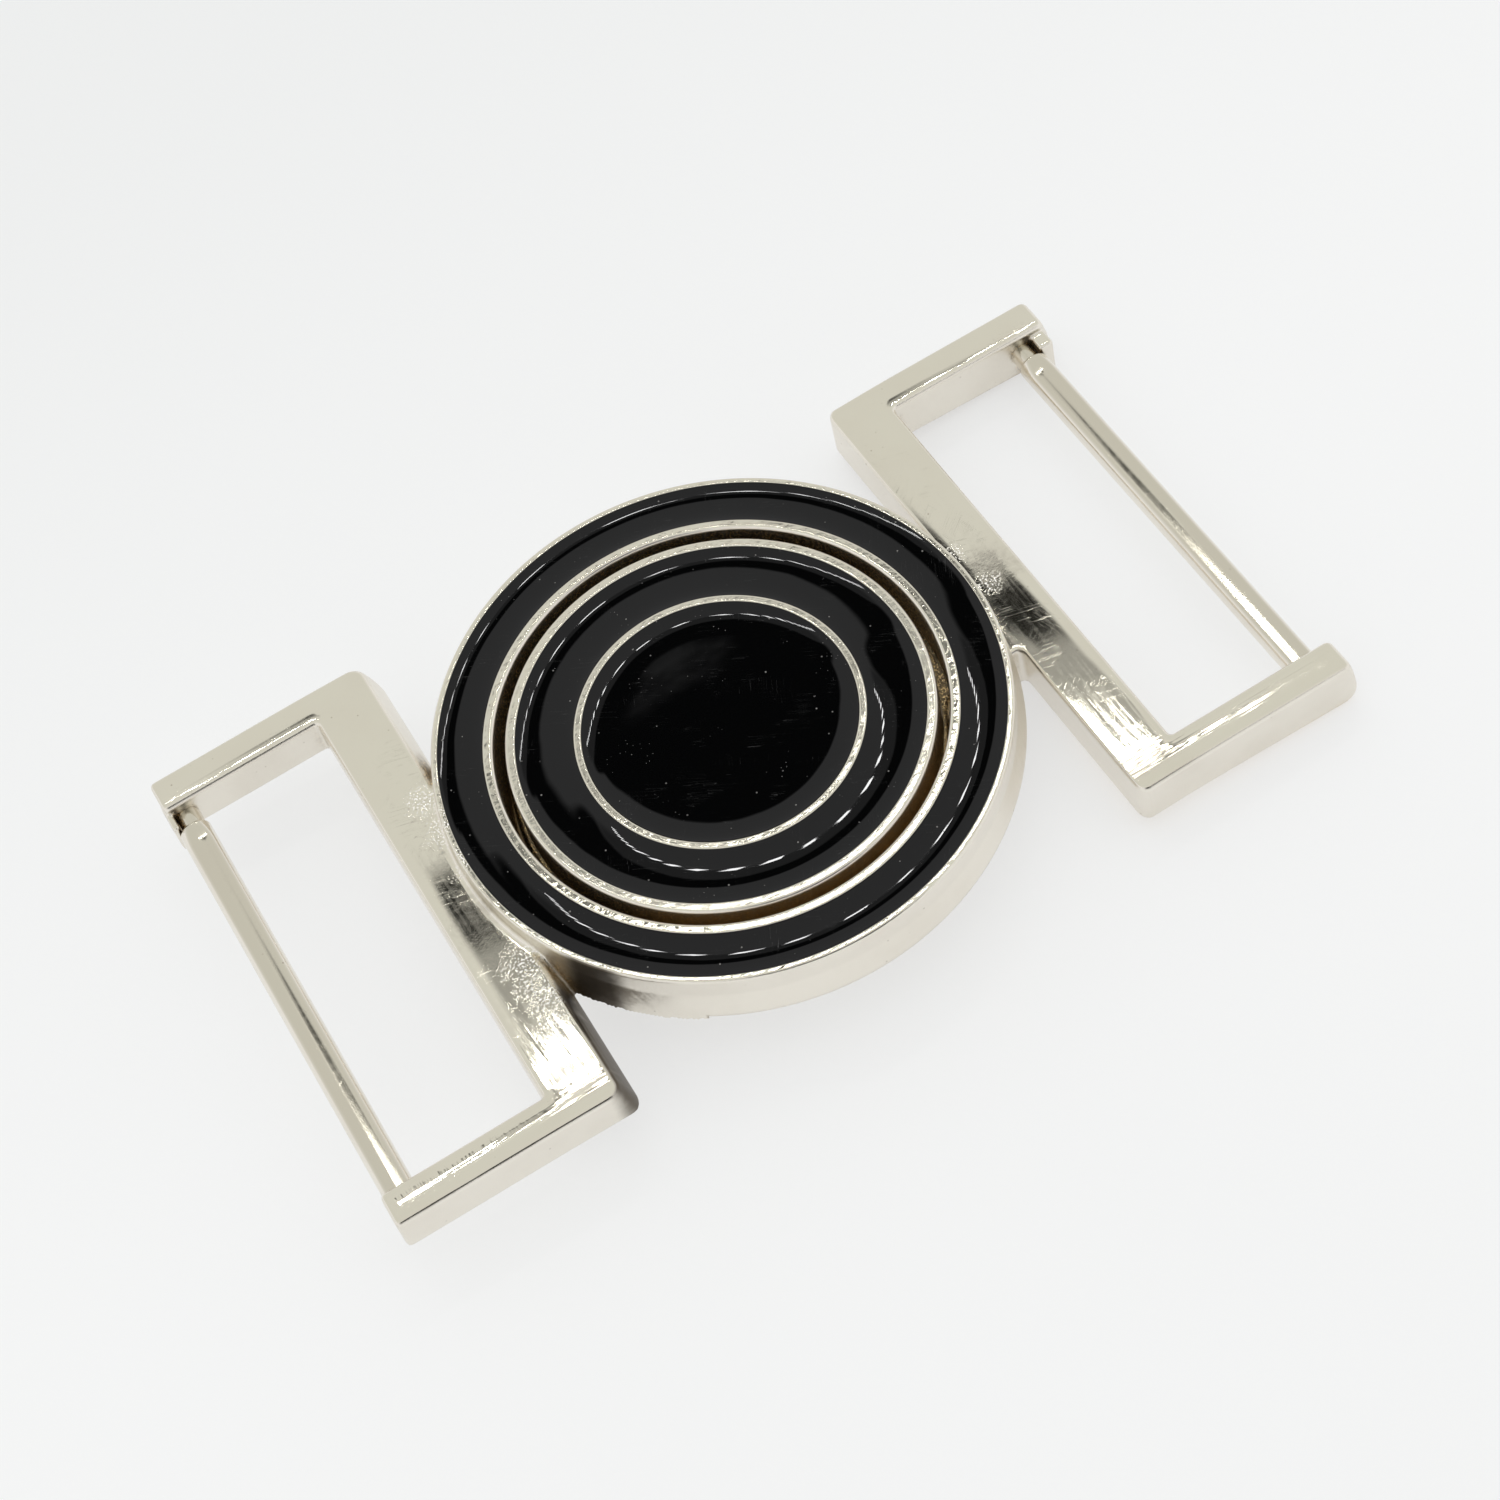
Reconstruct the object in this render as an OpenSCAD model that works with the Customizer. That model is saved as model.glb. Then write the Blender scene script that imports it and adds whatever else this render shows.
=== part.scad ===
// Two-piece interlocking belt buckle: a ring half that drops over the round boss of a disc half.
// +X runs along the belt, +Y across it, +Z towards the wearer's front. The origin is on the disc's
// axis at the back face of the disc half. Millimetres.

/* [Belt slots] */
// Clear length of each belt slot, the width of the webbing
belt_w = 40; // [38:0.5:42]
// Width of each side arm across the belt
arm_w = 3.2; // [2.6:0.1:4]
// Width of each bar between the slot and the ring
bar_w = 5.25; // [4.5:0.05:6]
// Clear width of each slot along the belt
slot_w = 11.4; // [9:0.1:13]
// Corner radius where a bar meets its arms, outside
corner_r = 1.2; // [0.4:0.1:2]

/* [Ring half] */
// Outer radius of the ring
ring_r = 23.3; // [22:0.1:25]
// Radius of the hole that takes the disc
bore_r = 18.2; // [17.8:0.05:18.6]
// Width of the outer rim
outer_rim_w = 0.65; // [0.4:0.05:1]
// Width of the inner rim
inner_rim_w = 1; // [0.6:0.05:1.3]
// Height of the ring above its back
ring_h = 6.2; // [5.5:0.1:7]
// Thickness of the ring half's strap frame
ring_frame_h = 4.2; // [3.8:0.1:4.8]
// Distance from the disc's axis to the ring half's bar, at its top
ring_bar_x = 21.8; // [20:0.1:22]
// How far that bar's ring-side wall spreads from its top to its back
bar_draft = 1.5; // [0:0.1:2]
// Fillet where the ring runs into its bar
junction_r = 0.8; // [0.4:0.1:1.6]

/* [Disc half] */
// Outer radius of the disc
disc_r = 17.3; // [16.5:0.05:17.6]
// Width of the disc's outer rim
disc_rim_w = 1; // [0.6:0.05:1.4]
// Outer radius of the small ring round the disc's centre
small_ring_r = 11.85; // [9:0.05:13]
// Width of the small ring
small_ring_w = 0.9; // [0.5:0.05:1.3]
// Thickness of the disc half's strap frame at its bar
disc_frame_h = 4.8; // [4.2:0.1:5]
// Height of that bar's underside above the disc half's back
bar_rise = 1.1; // [0.5:0.1:1.3]
// Distance from the disc's axis to the disc half's bar
disc_bar_x = 23.5; // [23.5:0.1:25]
// Width of the tongue that runs under the ring
tongue_w = 12.8; // [10:0.1:14]
// Radius of the round pad under the disc
pad_r = 17.8; // [10:0.1:17.9]
// Radius of the flange round the pad's foot, under the ring
flange_r = 19.4; // [17.9:0.1:20]
// Thickness of that flange
flange_h = 3.2; // [1:0.1:3.5]
// Fillet where the tongue runs into its bar
tongue_fillet = 0.9; // [0.4:0.1:1.2]

/* [Fit] */
// How far the ring half is turned about the disc
turn = 2.05; // [0:0.05:2.4]
// Height of the ring's back above the disc half's back
lift = 4.1; // [4:0.05:4.3]
// Room between the tongue and each side of its notch
notch_side_gap = 1.2; // [1.1:0.05:1.5]
// Room between the tongue and the roof of its notch
notch_roof_gap = 0.35; // [0.2:0.05:0.5]
// Radial running clearance of the rivet in the tongue
running_gap = 0.05; // [0.02:0.01:0.1]

/* [Enamel] */
// Depth of the channels that hold the enamel
enamel_depth = 1.1; // [0.6:0.1:1.4]
// How far the enamel stays below the rims
enamel_low = 0.12; // [0.05:0.01:0.3]

/* [Crossbars and rivet] */
// Radius of each crossbar
crossbar_r = 1.33; // [1.1:0.01:1.5]
// Height of the flat on top of each crossbar above its axis
crossbar_flat = 1; // [0.7:0.05:1.2]
// Radius of the tenons on the crossbars' ends
tenon_r = 0.85; // [0.6:0.05:1]
// Length of each tenon inside its arm
tenon_depth = 2; // [1:0.1:2.4]
// Length of the full-round collar at each end of a crossbar
collar_l = 1; // [0.5:0.1:2]
// Length of the lip on the end of each frame's +Y arm
lip_l = 1.6; // [1:0.1:2]
// How far the ring half's crossbar stays inside its arms' ends
left_inset = 0.3; // [0.25:0.01:1]
// How far the disc half's crossbar stays inside its arms' ends, at their top
right_inset = 1.05; // [0.25:0.01:1.2]
// How far the ends of the disc half's arms bulge below their top
end_bulge = 0.8; // [0:0.1:1]
// Radius of the rivet's shank
rivet_r = 2.5; // [2:0.1:3]
// Radius of the rivet's head
rivet_head_r = 4.2; // [3.5:0.1:5]
// Thickness of the rivet's head
rivet_head_h = 1.3; // [1:0.1:2]

/* [Hidden] */
$fn = 96;
nickel = [0.78, 0.76, 0.71];
enamel_black = [0.03, 0.03, 0.035];
cut = 0.5;                                // overshoot of every cutting tool
slot_y = belt_w / 2;
frame_y = slot_y + arm_w;
ring_end_drop = 0.35;                     // fall of the ring half's frame from its bar to its end
disc_end_drop = 0.6;                      // fall of the disc half's top from its bar to its end
arm_end_r = 0.5;                          // plan radius of an arm's end
under_r = 1.6;                            // radius under the end of the disc half's arms
lip_drop = 0.8;                           // step from an arm's top to its lip's top
lip_gap = 0.1;                            // room between a lip and the tenon behind it
tenon_gap = 0.02;                         // clearance of a tenon in its arm
shoulder_gap = 0.05;                      // room between a crossbar's shoulder and the arm or lip
left_slot_x = ring_bar_x + bar_w;
left_bar_x = left_slot_x + slot_w + crossbar_r;
left_end_x = left_bar_x + crossbar_r + left_inset;
right_slot_x = disc_bar_x + bar_w;
right_bar_x = right_slot_x + slot_w + crossbar_r;
right_end_x = right_bar_x + crossbar_r + right_inset + end_bulge;
ring_top = lift + ring_h;
ring_frame_top = lift + ring_frame_h;
disc_half_top = bar_rise + disc_frame_h;
left_bar_z = ring_frame_top - ring_end_drop - lip_drop - crossbar_r;
right_bar_z = disc_half_top - disc_end_drop - lip_drop - crossbar_r;
disc_floor = disc_half_top + running_gap;
notch_w = tongue_w + 2 * notch_side_gap;
notch_top = disc_half_top + notch_roof_gap;
enamel_floor = ring_top - enamel_depth;
enamel_h = enamel_depth - enamel_low;
ring_groove_in = bore_r + inner_rim_w;
ring_groove_out = ring_r - outer_rim_w;
band_out = disc_r - disc_rim_w;
centre_r = small_ring_r - small_ring_w;
rivet_top = enamel_floor - 0.9;           // end of the rivet's blind hole in the disc

// Rectangle from x0 to x1 and from y0 to y1 with its four corners rounded by arcs
module rounded_plan(x0, x1, y0, y1, r) {
    translate([x0 + r, y0]) square([x1 - x0 - 2 * r, y1 - y0]);
    translate([x0, y0 + r]) square([x1 - x0, y1 - y0 - 2 * r]);
    for (x = [x0 + r, x1 - r], y = [y0 + r, y1 - r]) translate([x, y]) circle(r);
}

// C-shaped outline of a strap frame: a bar and two arms, opening towards +X
module frame_plan(bar_x, slot_x, end_x) {
    rounded_plan(bar_x, slot_x, -frame_y, frame_y, corner_r);
    for (s = [0, 1]) mirror([0, s])
        translate([slot_x - corner_r - cut, 0])
            rounded_plan(0, end_x - slot_x + corner_r + cut, slot_y, frame_y, arm_end_r);
}

// Side view of a strap frame, drawn in X and Z and extruded across the belt: level from bar_x to slot_x,
// then the underside falls from low_in to low_end and the top from top_in to top_end. The wall at bar_x
// spreads by draft towards the underside, and the end bulges by bulge below its top.
module side_block(bar_x, draft, slot_x, end_x, bulge, low_in, low_end, top_in, top_end) {
    rotate([90, 0, 0]) translate([0, 0, -frame_y - cut]) linear_extrude(2 * (frame_y + cut))
        polygon([[bar_x - draft, low_in], [slot_x, low_in], [end_x, low_end],
                 [end_x, (low_end + top_end) / 2], [end_x - bulge, top_end],
                 [slot_x, top_in], [bar_x, top_in]]);
}

// Lip on the end of the +Y arm, from z0 to z1, that covers the crossbar's tenon
module lip(end_x, inset, z0, z1) {
    lip_t = inset + crossbar_r - tenon_r - lip_gap;
    translate([end_x - lip_t, slot_y - lip_l, z0]) cube([lip_t, lip_l + arm_w / 2, z1 - z0]);
}

// Blind holes in both arms for a crossbar's tenons
module tenon_holes(x, z) {
    for (s = [0, 1]) mirror([0, s, 0])
        translate([x, slot_y - cut, z]) rotate([-90, 0, 0])
            cylinder(h = tenon_depth + cut + tenon_gap, r = tenon_r + tenon_gap);
}

// Crossbar along Y: a round bar with a flat on top between two collars, and a tenon on each end.
// It fills the slot's length but for the lip at its +Y end.
module crossbar(x, z) {
    y0 = -slot_y + shoulder_gap;
    y1 = slot_y - lip_l - shoulder_gap;
    color(nickel) translate([x, 0, z]) {
        difference() {
            translate([0, y1, 0]) rotate([90, 0, 0]) cylinder(h = y1 - y0, r = crossbar_r);
            translate([-crossbar_r - cut, y0 + collar_l, crossbar_flat])
                cube([2 * (crossbar_r + cut), y1 - y0 - 2 * collar_l, crossbar_r]);
        }
        rotate([90, 0, 0]) cylinder(h = 2 * (slot_y + tenon_depth), r = tenon_r, center = true);
    }
}

// Puts a piece of the ring half, drawn opening towards +X, on the left and turned about the disc
module on_ring_half() {
    rotate([0, 0, -turn]) mirror([1, 0, 0]) children();
}

// Flat ring between two radii
module flat_ring(z, h, r_in, r_out) {
    translate([0, 0, z]) difference() {
        cylinder(h = h, r = r_out);
        translate([0, 0, -cut]) cylinder(h = h + 2 * cut, r = r_in);
    }
}

// Concave corner between the ring and its bar: a wedge less the fillet's own cylinder
module junction_fillet() {
    fillet_x = ring_bar_x - junction_r;
    fillet_y = sqrt(pow(ring_r + junction_r, 2) - pow(fillet_x, 2));
    touch = ring_r / (ring_r + junction_r);
    corner_y = sqrt(pow(ring_r, 2) - pow(ring_bar_x, 2));
    translate([0, 0, lift]) difference() {
        linear_extrude(ring_frame_h)
            polygon([[ring_bar_x + cut, corner_y - cut], [ring_bar_x + cut, fillet_y],
                     [ring_bar_x, fillet_y], [fillet_x, fillet_y],
                     [fillet_x * touch, fillet_y * touch], [fillet_x * touch, corner_y - cut]]);
        translate([fillet_x, fillet_y, -cut]) cylinder(h = ring_frame_h + 2 * cut, r = junction_r);
    }
}

// Ring and strap frame cast in one piece
module ring_half() {
    color(nickel) on_ring_half() difference() {
        union() {
            translate([0, 0, lift]) cylinder(h = ring_h, r = ring_r);
            intersection() {
                translate([0, 0, lift - cut]) linear_extrude(ring_h)
                    frame_plan(ring_bar_x - bar_draft, left_slot_x, left_end_x);
                side_block(ring_bar_x, bar_draft, left_slot_x, left_end_x, 0, lift,
                           lift - ring_end_drop, ring_frame_top, ring_frame_top - ring_end_drop);
            }
            for (s = [0, 1]) mirror([0, s, 0]) junction_fillet();
            lip(left_end_x, left_inset, lift - ring_end_drop, left_bar_z + crossbar_r);
        }
        translate([0, 0, lift - cut]) cylinder(h = ring_h + 2 * cut, r = bore_r);
        flat_ring(enamel_floor, enamel_depth + cut, ring_groove_in, ring_groove_out);
        translate([-ring_r - cut, -notch_w / 2, lift - cut])
            cube([ring_r + cut, notch_w, notch_top - lift + cut]);
        tenon_holes(left_bar_x, left_bar_z);
    }
}

module ring_enamel() {
    color(enamel_black) on_ring_half() flat_ring(enamel_floor, enamel_h, ring_groove_in, ring_groove_out);
}

module left_crossbar() {
    on_ring_half() crossbar(left_bar_x, left_bar_z);
}

// Concave corners where the tongue widens into its bar
module tongue_fillets() {
    for (s = [0, 1]) mirror([0, s, 0])
        translate([disc_bar_x - tongue_fillet, tongue_w / 2 - cut, bar_rise]) difference() {
            cube([tongue_fillet + cut, tongue_fillet + cut, disc_frame_h]);
            translate([0, tongue_fillet + cut, -cut])
                cylinder(h = disc_frame_h + 2 * cut, r = tongue_fillet);
        }
}

// Rounds the lower corners of the disc half's arms' ends
module under_rounding() {
    translate([right_end_x - under_r, frame_y + cut, under_r]) rotate([90, 0, 0]) difference() {
        translate([0, -under_r - cut, 0]) cube([under_r + cut, under_r + cut, 2 * (frame_y + cut)]);
        translate([0, 0, -cut]) cylinder(h = 2 * frame_y + 4 * cut, r = under_r);
    }
}

// Strap frame, tongue and round flanged pad cast in one piece
module disc_half() {
    color(nickel) difference() {
        union() {
            intersection() {
                translate([0, 0, -cut]) linear_extrude(disc_half_top + 2 * cut)
                    frame_plan(disc_bar_x, right_slot_x, right_end_x);
                side_block(disc_bar_x, 0, right_slot_x, right_end_x, end_bulge, bar_rise, 0,
                           disc_half_top, disc_half_top - disc_end_drop);
            }
            translate([0, -tongue_w / 2, bar_rise]) cube([disc_bar_x + cut, tongue_w, disc_frame_h]);
            cylinder(h = disc_half_top, r = pad_r);
            cylinder(h = flange_h, r = flange_r);
            tongue_fillets();
            lip(right_end_x - end_bulge, right_inset, 0, right_bar_z + crossbar_r);
        }
        under_rounding();
        translate([0, 0, -cut]) cylinder(h = disc_half_top + 2 * cut, r = rivet_r + running_gap);
        translate([0, 0, -cut]) cylinder(h = rivet_head_h + cut + running_gap,
                                         r = rivet_head_r + running_gap);
        tenon_holes(right_bar_x, right_bar_z);
    }
}

module right_crossbar() {
    crossbar(right_bar_x, right_bar_z);
}

// Disc with a rim, a small ring and two sunk fields for enamel
module centre_disc() {
    color(nickel) difference() {
        translate([0, 0, disc_floor]) cylinder(h = ring_top - disc_floor, r = disc_r);
        flat_ring(enamel_floor, enamel_depth + cut, small_ring_r, band_out);
        translate([0, 0, enamel_floor]) cylinder(h = enamel_depth + cut, r = centre_r);
        translate([0, 0, disc_floor - cut]) cylinder(h = rivet_top - disc_floor + cut, r = rivet_r);
    }
}

// Flush rivet that holds the disc to the tongue and lets it turn
module disc_rivet() {
    color(nickel) {
        cylinder(h = rivet_head_h, r = rivet_head_r);
        cylinder(h = rivet_top, r = rivet_r);
    }
}

module band_enamel() {
    color(enamel_black) flat_ring(enamel_floor, enamel_h, small_ring_r, band_out);
}

module centre_enamel() {
    color(enamel_black) translate([0, 0, enamel_floor]) cylinder(h = enamel_h, r = centre_r);
}

ring_half();
ring_enamel();
left_crossbar();
disc_half();
right_crossbar();
centre_disc();
disc_rivet();
band_enamel();
centre_enamel();
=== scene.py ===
"""Looks of the interlocking belt buckle: cast and plated halves, poured enamel, studio."""
import functools
import itertools
import math

import bpy
import numpy as np
from mathutils import Matrix, Vector


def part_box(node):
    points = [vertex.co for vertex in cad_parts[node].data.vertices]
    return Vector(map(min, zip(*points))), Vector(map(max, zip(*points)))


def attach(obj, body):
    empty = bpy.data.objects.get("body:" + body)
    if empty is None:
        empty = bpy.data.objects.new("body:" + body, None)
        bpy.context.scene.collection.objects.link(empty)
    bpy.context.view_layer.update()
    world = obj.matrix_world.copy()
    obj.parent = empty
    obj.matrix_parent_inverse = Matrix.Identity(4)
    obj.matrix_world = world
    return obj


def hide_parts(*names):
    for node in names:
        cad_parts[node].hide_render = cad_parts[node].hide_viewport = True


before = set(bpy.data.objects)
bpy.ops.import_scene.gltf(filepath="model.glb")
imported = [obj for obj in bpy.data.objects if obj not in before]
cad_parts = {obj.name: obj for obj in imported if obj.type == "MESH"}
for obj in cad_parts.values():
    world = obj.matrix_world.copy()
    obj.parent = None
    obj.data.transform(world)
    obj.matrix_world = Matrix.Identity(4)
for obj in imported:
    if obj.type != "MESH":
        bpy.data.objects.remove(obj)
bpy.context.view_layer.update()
MM = 0.001                                   # every size below is in millimetres


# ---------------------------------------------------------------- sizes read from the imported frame
def node_points(name):
    """A CAD node's vertices in millimetres."""
    return np.array([v.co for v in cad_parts[name].data.vertices], float) / MM


def radii(name):
    """The smallest and largest distance from the disc's axis in a CAD node."""
    r = np.hypot(*node_points(name)[:, :2].T)
    return r.min(), r.max()


def heights(name):
    """The lowest and highest point of a CAD node."""
    z = node_points(name)[:, 2]
    return z.min(), z.max()


def tenon_ends(name):
    """Centres of the two end faces of a crossbar, the one at +Y first."""
    points = node_points(name)
    y = points[:, 1]
    return points[y > y.max() - 0.2].mean(axis=0), points[y < y.min() + 0.2].mean(axis=0)


GROOVE_IN, GROOVE_OUT = radii("ring_enamel")
SMALL_RING_R, BAND_OUT = radii("band_enamel")
CENTRE_R = radii("centre_enamel")[1]
DISC_R = radii("centre_disc")[1]
BORE_R = radii("ring_half")[0]
RING_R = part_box("ring_half")[1].x / MM
RING_BACK, RING_TOP = heights("ring_half")
ENAMEL_FLOOR = heights("ring_enamel")[0]
DISC_FLOOR = heights("centre_disc")[0]
HALF_TOP = heights("disc_half")[1]
left_far, left_near = tenon_ends("left_crossbar")
right_far, _ = tenon_ends("right_crossbar")
TURN = math.atan2(left_far[0] - left_near[0], left_far[1] - left_near[1])   # of the ring half
LEFT_BAR_U = math.hypot(*((left_far + left_near) / 2)[:2])
LEFT_BAR_Z = left_far[2]
RIGHT_BAR_U, TENON_END, RIGHT_BAR_Z = right_far
RIGHT_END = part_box("disc_half")[1].x / MM
FRAME_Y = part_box("disc_half")[1].y / MM
RIVET_R = radii("disc_rivet")[1]

# ---------------------------------------------------------------- design sizes shared with the CAD
ARM_W = 3.2
SLOT_Y = FRAME_Y - ARM_W
BAR_W = 5.25
LEFT_BAR = 21.8                              # from the disc's axis to each frame's bar
RIGHT_BAR = 23.5
BAR_DRAFT = 1.5                              # how far the left bar's wall spreads towards its back
END_BULGE = 0.8                              # of the right arms' ends
BAR_RISE = 1.1                               # of the right bar above the back
LIP_L = 1.6
CROSSBAR_R = 1.33
CROSSBAR_FLAT = 1.0
TENON_R = 0.85
TONGUE_W = 12.8
PAD_R = 17.8
FLANGE_R = 19.4
FLANGE_H = 3.2
NOTCH_W = 15.2
NOTCH_TOP = 6.25
RIVET_H = 1.3
RIVET_SHANK = 2.5

# ---------------------------------------------------------------- edges and surfaces
EDGE_R = 0.42                                # round-over of the frames' top edges
UNDER_R = 0.3                                # round-over of their lower edges
CORNER_R = 1.2
ARM_END_R = 0.55
SLOT_CORNER_R = 0.3
CROWN = 0.1                                  # how far the polished tops fall towards their edges
BLEND_R = 0.6                                # concave corners of the castings
LIP_BLEND_R = 0.2                            # concave corner where a lip meets its arm
LEFT_RISE = 0.35                             # of the left frame's back above the ring's
LEFT_FRAME_H = 4.2
ARM_TAPER = 0.35                             # how much the left arms' ends are lower than their bar
TAPER_BEND = 1.5                             # length over which the arms start to fall
JOIN_U = 13                                  # where the left frame's solid starts, inside the ring's wall
ARM_START = (18.6, 20.5)                     # |Y| over which the buffing turns from the bars to the arms
NEAR_END = (-18.0, -12.0)                    # Y over which the near ends of the bars start to roll off
NECK_R = 1.0                                 # of the crossbars' necks, beside the lips
NECK_SHIFT = 0.1
RUN_OUT = 2.2                                # length over which a crossbar's flat runs out at its lip
FLARE = 0.8                                  # how far the ring's outer wall spreads towards its back
FLARE_TOP, FLARE_BACK = 8.2, 5.2             # heights between which it spreads
SKIRT_R = 20.5                               # of the deeper part of the ring, round its bore
SKIRT_BACK = RING_BACK + 0.05
FREE = 0.06                                  # room round the rivet
MENISCUS_RISE = 0.2                          # how far the enamel climbs its channel's walls
MENISCUS_REACH = 0.72                        # distance over which that climb fades
DISH = 0.025                                 # how much lower the middle of the round field is
ENAMEL_LOW = 0.26                            # middle of the enamel below the rims
OVERLAP = 0.13                               # how far a fill runs into its channel's walls
AXIS = 0.05                                  # radius at which turned pieces are capped
NET_STEP = 0.24                              # cell of the frames' surface nets
FINE_STEP = 0.15                             # cell of the crossbars' nets
NET_ROOM = 0.7                               # how far a net's box stands off its solid
SEGMENTS = 288                               # round the turned pieces


# ---------------------------------------------------------------- distance fields
def box2(x, y, x0, x1, y0, y1, r):
    """Distance to a rectangle whose corners are rounded to r."""
    qx = np.abs(x - (x0 + x1) / 2) - (x1 - x0) / 2 + r
    qy = np.abs(y - (y0 + y1) / 2) - (y1 - y0) / 2 + r
    return np.hypot(np.maximum(qx, 0), np.maximum(qy, 0)) + np.minimum(np.maximum(qx, qy), 0) - r


def round_max(a, b, r):
    """Where two solids overlap, with the convex edge rounded to radius r."""
    return np.minimum(np.maximum(a, b), -r) + np.hypot(np.maximum(a + r, 0), np.maximum(b + r, 0))


def round_min(a, b, r):
    """Two solids joined, with the concave corner filled to radius r."""
    return np.maximum(np.minimum(a, b), r) - np.hypot(np.maximum(r - a, 0), np.maximum(r - b, 0))


def ramp(x, soft):
    """x above 0 and 0 below, with a soft bend."""
    return (x + np.sqrt(x * x + soft * soft)) / 2


class StrapFrame:
    """A bar and two arms opening towards +U, with a lip on the +V arm."""

    def __init__(self, bar, draft, end, bulge, low, top, end_drop, low_drop, bar_u, bar_z, under):
        self.bar, self.draft, self.end, self.bulge = bar, draft, end, bulge
        self.low, self.top, self.end_drop, self.low_drop = low, top, end_drop, low_drop
        self.bar_u, self.bar_z, self.under = bar_u, bar_z, under
        self.slot = bar + BAR_W

    def outline(self, u, v):
        """Plan view, at its widest."""
        corner = np.where(u < self.slot, CORNER_R, ARM_END_R)
        outer = box2(u, v, self.bar - self.draft, self.end + self.bulge, -FRAME_Y, FRAME_Y, corner)
        slot = box2(u, v, self.slot, self.end + 20, -SLOT_Y, SLOT_Y, SLOT_CORNER_R)
        return round_max(outer, -slot, ARM_END_R)

    def field(self, u, v, z, body=None):
        """The whole frame; body joins more of the casting to its outline."""
        plan = self.outline(u, v)
        along = ramp(u - self.slot, TAPER_BEND) / (self.end - self.slot)
        depth = np.clip(-plan, 0, ARM_W / 2) / (ARM_W / 2)
        top = self.top - self.end_drop * along - CROWN * (1 - depth) ** 2
        low = self.low - self.low_drop * along
        wall = (self.bar - self.draft * np.clip((self.top - z) / (self.top - self.low), 0, 1)) - u
        wall = wall / math.hypot(1, self.draft / (self.top - self.low))
        middle = (self.top - self.end_drop + self.low - self.low_drop) / 2
        bulge = self.bulge * np.clip((self.top - self.end_drop - z) / (self.top - middle), 0, 1)
        end = round_max(u - self.end - bulge, low - z, self.under)
        solid = round_max(round_max(plan, wall, CORNER_R), end, ARM_END_R)
        if body is not None:
            solid = round_min(solid, body, BLEND_R)
        solid = round_max(round_max(solid, z - top, EDGE_R), low - z, UNDER_R)
        solid = round_min(solid, self.lip(u, v, z), LIP_BLEND_R)
        hole = np.maximum(np.hypot(u - self.bar_u, z - self.bar_z) - TENON_R - 0.02,
                          np.abs(v) - TENON_END - 0.05)
        return round_max(solid, -hole, 0.05)

    def lip(self, u, v, z):
        """Covers the crossbar's tenon at the end of the +V arm."""
        back = self.bar_u + TENON_R + 0.12
        front = self.end - 0.1
        plan = box2(u, v, back, front, SLOT_Y - LIP_L, SLOT_Y + 1, 0.2)
        side = np.maximum(z - self.bar_z - CROSSBAR_R, self.low - self.low_drop + 0.15 - z)
        return round_max(plan, side, 0.25)


def crossbar_field(bar_u, bar_z):
    """A round bar with a crowned flat on top that runs out at its +V end, and a neck on each end."""
    v0, v1 = -SLOT_Y + 0.05, SLOT_Y - LIP_L - 0.05
    middle, half = (v0 + v1) / 2, (v1 - v0) / 2

    def field(u, v, z):
        run_out = np.clip(v - v1 + RUN_OUT, 0, None)
        crown = 0.03 * (u - bar_u) ** 2
        flat = z - bar_z - CROSSBAR_FLAT + crown - 0.12 * run_out ** 2
        distance = np.hypot(u - bar_u, z - bar_z)
        bar = round_max(distance - CROSSBAR_R, flat, 0.3)
        bar = round_max(bar, np.abs(v - middle) - half, 0.18)
        neck = np.maximum(np.hypot(u - bar_u + NECK_SHIFT, z - bar_z) - NECK_R, np.abs(v) - TENON_END)
        return round_min(bar, neck, 0.15)
    return field


LEFT = StrapFrame(bar=LEFT_BAR, draft=BAR_DRAFT, end=LEFT_BAR_U + CROSSBAR_R + 0.3, bulge=0,
                  low=RING_BACK + LEFT_RISE, top=RING_BACK + LEFT_RISE + LEFT_FRAME_H, end_drop=ARM_TAPER,
                  low_drop=ARM_TAPER, bar_u=LEFT_BAR_U, bar_z=LEFT_BAR_Z, under=0.5)
RIGHT = StrapFrame(bar=RIGHT_BAR, draft=0, end=RIGHT_END - END_BULGE, bulge=END_BULGE, low=BAR_RISE,
                   top=HALF_TOP, end_drop=0.6, low_drop=BAR_RISE, bar_u=RIGHT_BAR_U, bar_z=RIGHT_BAR_Z,
                   under=1.6)


def ring_wall(z):
    """Radius of the ring's outer wall, which flares towards its back."""
    return RING_R + FLARE * np.clip((FLARE_TOP - z) / (FLARE_TOP - FLARE_BACK), 0, 1)


def left_frame_field(u, v, z):
    """The ring half's frame with its concave corner against the ring's wall."""
    rho = np.hypot(u, v)
    ring = np.maximum(rho - ring_wall(z), JOIN_U - 1 - u)
    return round_min(LEFT.field(u, v, z), np.maximum(ring, FLARE_BACK - z), BLEND_R)


def left_frame_cut(u, v, z):
    """That frame, kept outside the ring's bore and channel, so that it can be joined to the ring."""
    rho = np.hypot(u, v)
    ring = np.maximum(rho - ring_wall(z) + 0.02, JOIN_U - 1 - u)
    ring = np.maximum(ring, FLARE_BACK + 0.3 - z)
    solid = round_min(LEFT.field(u, v, z), ring, BLEND_R)
    limit = np.maximum(RING_R - 1.4 - rho, z - ENAMEL_FLOOR + 0.3)
    return np.maximum(np.maximum(solid, limit), JOIN_U - u)


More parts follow.
